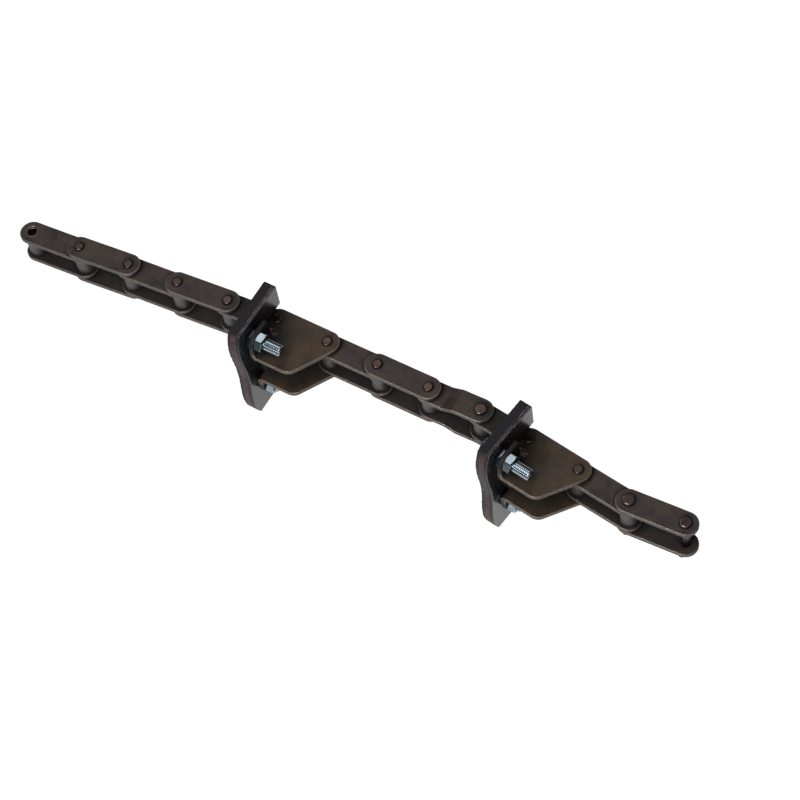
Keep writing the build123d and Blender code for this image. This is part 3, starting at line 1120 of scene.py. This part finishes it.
def shank_radius(number):
    """The radius of a link's paddle bolts, from the washers' bore."""
    place = link_frame(number)
    node = f"link_{number:02d}_paddle_washers"
    low, high = local_box(node, place, UPPER)
    middle = (low + high) / 2
    to_link = place.inverted()
    points = [to_link @ v.co for v in frame["nodes"][node].data.vertices if v.co.z > 0]
    return min((Vector((p.y, p.z)) - Vector((middle.y, middle.z))).length for p in points)


class CHAIN_OT_bolts(bpy.types.Operator):
    """Build the paddle bolts with turned heads and rolled threads, in bright zinc"""

    bl_idname = "chain.bolts"
    bl_label = "Paddle bolts"

    def execute(self, context):
        zinc = bright_zinc_plating()
        for number in ATTACHMENT_LINKS:
            washer = local_box(f"link_{number:02d}_paddle_washers", link_frame(number), UPPER)
            for name, node, place, low, high in fastener_extents(number, "paddle_bolts"):
                head_height = washer[0].x - low.x
                mesh = bolt_mesh(place, low, high, head_height, shank_radius(number))
                new_piece(name, mesh, zinc, f"link_{number:02d}", node)
        return {"FINISHED"}


class CHAIN_OT_nuts(bpy.types.Operator):
    """Build the thin and the full nuts with turned corners and mouths, in bright zinc"""

    bl_idname = "chain.nuts"
    bl_label = "Nuts"

    def execute(self, context):
        zinc = bpy.data.materials["bright_zinc_plating"]
        for number in ATTACHMENT_LINKS:
            for kind in ("jam_nuts", "outer_nuts"):
                for name, node, place, low, high in fastener_extents(number, kind):
                    mesh = nut_mesh(place, low, high, shank_radius(number))
                    new_piece(name, mesh, zinc, f"link_{number:02d}", node)
        return {"FINISHED"}


class CHAIN_OT_washers(bpy.types.Operator):
    """Build the punched washers behind the paddles, in bright zinc"""

    bl_idname = "chain.washers"
    bl_label = "Washers"

    def execute(self, context):
        zinc = bpy.data.materials["bright_zinc_plating"]
        for number in ATTACHMENT_LINKS:
            for name, node, place, low, high in fastener_extents(number, "paddle_washers"):
                mesh = washer_mesh(place, low, high, shank_radius(number))
                new_piece(name, mesh, zinc, f"link_{number:02d}", node)
        return {"FINISHED"}


class CHAIN_OT_paddles(bpy.types.Operator):
    """Cut the paddles from ply belting, with frayed plies on their edges"""

    bl_idname = "chain.paddles"
    bl_label = "Paddles"

    def execute(self, context):
        rubber = ply_belting_rubber()
        for number in ATTACHMENT_LINKS:
            node = f"link_{number:02d}_paddle"
            mesh = belting_mesh(node, link_frame(number))
            new_piece(f"{node}_belting", mesh, rubber, f"link_{number:02d}", node)
        return {"FINISHED"}


def area_light(name, aim, azimuth, elevation, distance, size, power):
    """A soft light, as wide and as high as its size says, that faces the aim from that side and height."""
    direction = Vector((sin(azimuth) * cos(elevation), -cos(azimuth) * cos(elevation), sin(elevation)))
    lamp = bpy.data.lights.new(name, "AREA")
    lamp.shape = "RECTANGLE"
    lamp.size, lamp.size_y = size
    lamp.energy = power
    light = bpy.data.objects.new(name, lamp)
    SCENE.collection.objects.link(light)
    light.location = aim + direction * distance
    light.rotation_euler = direction.to_track_quat("Z", "Y").to_euler()


class CHAIN_OT_stage(bpy.types.Operator):
    """Set the pale floor, the soft light and the camera"""

    bl_idname = "chain.stage"
    bl_label = "Stage"

    def execute(self, context):
        look = SCENE.stage_look
        low, high = (Vector(corner) for corner in CAD_BOX)
        centre = (low + high) / 2

        mesh = bpy.data.meshes.new("floor")
        reach = 3.0  # metres
        corners = [(-reach, -reach, 0), (reach, -reach, 0), (reach, reach, 0), (-reach, reach, 0)]
        mesh.from_pydata(corners, [], [(0, 1, 2, 3)])
        floor = bpy.data.objects.new("floor", mesh)
        SCENE.collection.objects.link(floor)
        turn = Matrix.Rotation(look.sheet_turn, 3, "Z")
        floor.location = Vector((look.aim_x, look.aim_y, low.z)) + turn @ Vector((0, look.sheet_shift, 0))
        floor.rotation_euler.z = look.sheet_turn
        mesh.materials.append(pale_floor())

        world = bpy.data.worlds.new("soft_room")
        world.use_nodes = True
        tree = world.node_tree
        direction = add(tree, "ShaderNodeTexCoord")
        upward = add(tree, "ShaderNodeSeparateXYZ", {0: direction.outputs["Generated"]})
        strength = add(
            tree,
            "ShaderNodeMapRange",
            {
                "Value": upward.outputs["Z"],
                "From Min": 0.1,
                "From Max": 0.6,
                "To Min": look.horizon,
                "To Max": look.sky,
            },
        )
        background = tree.nodes["Background"]
        background.inputs["Color"].default_value = linear(look.sky_tint)
        tree.links.new(strength.outputs[0], background.inputs["Strength"])
        SCENE.world = world
        for name, (side, height, distance, size, power) in LIGHTS.items():
            area_light(name, centre, radians(side), radians(height), distance, size, power)
        SCENE.view_settings.view_transform = "Standard"

        back = Vector((
            sin(look.azimuth) * cos(look.elevation),
            -cos(look.azimuth) * cos(look.elevation),
            sin(look.elevation),
        ))
        lens = bpy.data.cameras.new("camera")
        lens.lens = look.lens
        lens.sensor_width = 36
        camera = bpy.data.objects.new("camera", lens)
        SCENE.collection.objects.link(camera)
        upright = back.to_track_quat("Z", "Y").to_matrix().to_4x4()
        aim = Vector((look.aim_x, look.aim_y, 0))
        rolled = upright @ Matrix.Rotation(look.roll, 4, "Z")
        camera.matrix_world = Matrix.Translation(aim + back * look.distance) @ rolled
        SCENE.camera = camera
        return {"FINISHED"}


OPERATORS = (
    CHAIN_OT_link_plates,
    CHAIN_OT_attachment_plates,
    CHAIN_OT_rollers,
    CHAIN_OT_pins,
    CHAIN_OT_bolts,
    CHAIN_OT_nuts,
    CHAIN_OT_washers,
    CHAIN_OT_paddles,
    CHAIN_OT_stage,
)
GROUPS = {
    "chain_finish": ChainFinish,
    "fastener_shape": FastenerShape,
    "belting_shape": BeltingShape,
    "stage_look": StageLook,
}


class CHAIN_PT_panel(bpy.types.Panel):
    """Lists the chain's sizes, colours and pieces"""

    bl_idname = "CHAIN_PT_panel"
    bl_label = "Conveyor chain"
    bl_space_type = "VIEW_3D"
    bl_region_type = "UI"
    bl_category = "Chain"

    def draw(self, context):
        for name, group in GROUPS.items():
            box = self.layout.box()
            box.label(text=group.__doc__)
            for field in group.__annotations__:
                box.prop(getattr(context.scene, name), field)
        for operator in OPERATORS:
            self.layout.operator(operator.bl_idname)


def register():
    for kind in (*GROUPS.values(), *OPERATORS, CHAIN_PT_panel):
        bpy.utils.register_class(kind)
    for name, group in GROUPS.items():
        setattr(bpy.types.Scene, name, PointerProperty(type=group))


def unregister():
    for name in GROUPS:
        delattr(bpy.types.Scene, name)
    for kind in (CHAIN_PT_panel, *reversed(OPERATORS), *GROUPS.values()):
        bpy.utils.unregister_class(kind)


def main():
    register()
    for operator in OPERATORS:
        category, name = operator.bl_idname.split(".")
        getattr(getattr(bpy.ops, category), name)()


if __name__ == "__main__":
    main()
